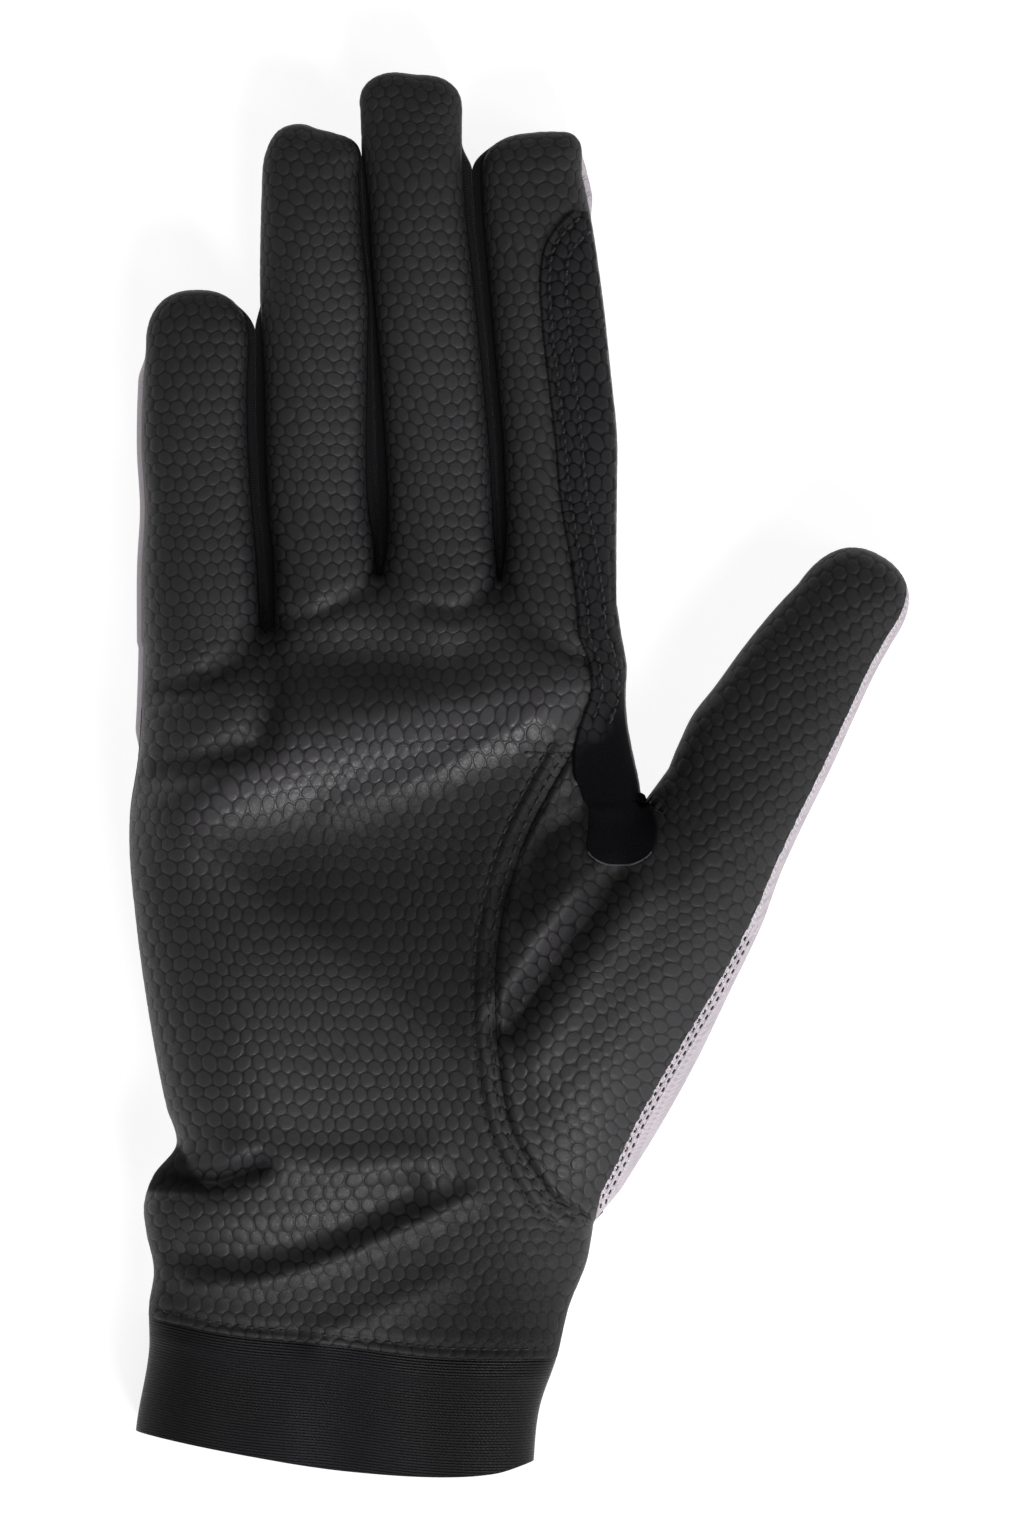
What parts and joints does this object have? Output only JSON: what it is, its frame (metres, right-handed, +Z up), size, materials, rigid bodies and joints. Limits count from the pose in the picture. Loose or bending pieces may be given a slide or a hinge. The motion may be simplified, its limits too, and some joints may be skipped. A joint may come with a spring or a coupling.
{
  "type": "horse riding glove",
  "caption": "Right-hand riding glove lying palm up: scale-embossed palm, pale fabric back, finger side strips, reinforced index finger and a knitted wrist cuff.",
  "frame": {"origin": "middle of the glove's footprint, on the surface that its back lies on", "axes": "+Y towards the fingertips, +X towards the thumb, +Z up out of the palm"},
  "size_m": [0.131, 0.235, 0.0251],
  "materials": {
    "embossed_leather": "scale-embossed, semi-matt",
    "stretch_fabric": "fine matt knit",
    "side_fabric": "matt",
    "cuff_knit": "fine ribbed knit with a faint sheen"
  },
  "bodies": {
    "root": {"palm_panel": "embossed_leather", "thumb_panel": "embossed_leather", "index_reinforcement": "embossed_leather", "back_panel": "stretch_fabric", "thumb_back": "stretch_fabric", "fourchette_pinky_ring": "side_fabric", "fourchette_ring_middle": "side_fabric", "fourchette_middle_index": "side_fabric", "cuff_band": "cuff_knit"}
  },
  "joints": []
}
